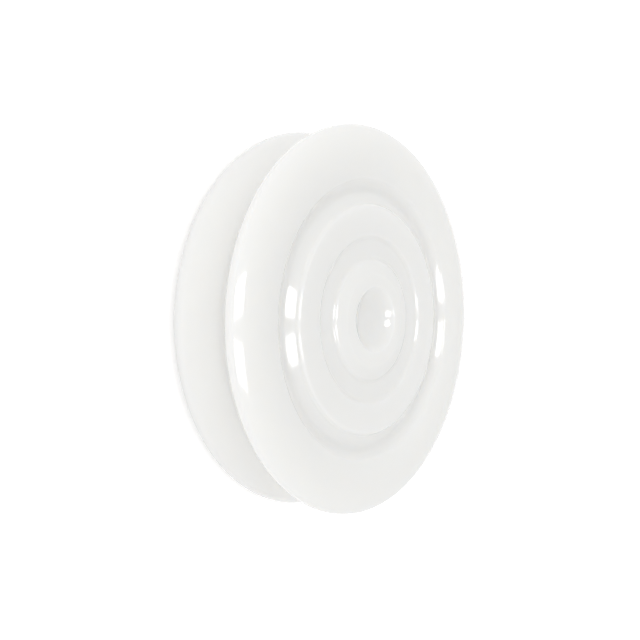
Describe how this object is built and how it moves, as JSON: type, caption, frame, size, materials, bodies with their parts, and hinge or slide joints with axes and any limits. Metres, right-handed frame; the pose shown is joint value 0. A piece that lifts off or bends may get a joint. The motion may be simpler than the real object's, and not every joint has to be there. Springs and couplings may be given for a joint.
{
  "type": "v groove wheel",
  "caption": "Solid moulded plastic wheel with a V groove between two rims, domed side faces and a blind axle bore, for running on a rail edge, rod or cord.",
  "frame": {"origin": "centre of the wheel, on its axle's axis, midway between the two side faces", "axes": "+Z along the axle's axis, X and Y across the wheel; the wheel lies on one hub end"},
  "size_m": [0.05, 0.05, 0.0114],
  "materials": {
    "white_plastic": "smooth glossy moulded milk-white plastic, slightly translucent"
  },
  "bodies": {
    "root": {"wheel": "white_plastic"}
  },
  "joints": []
}
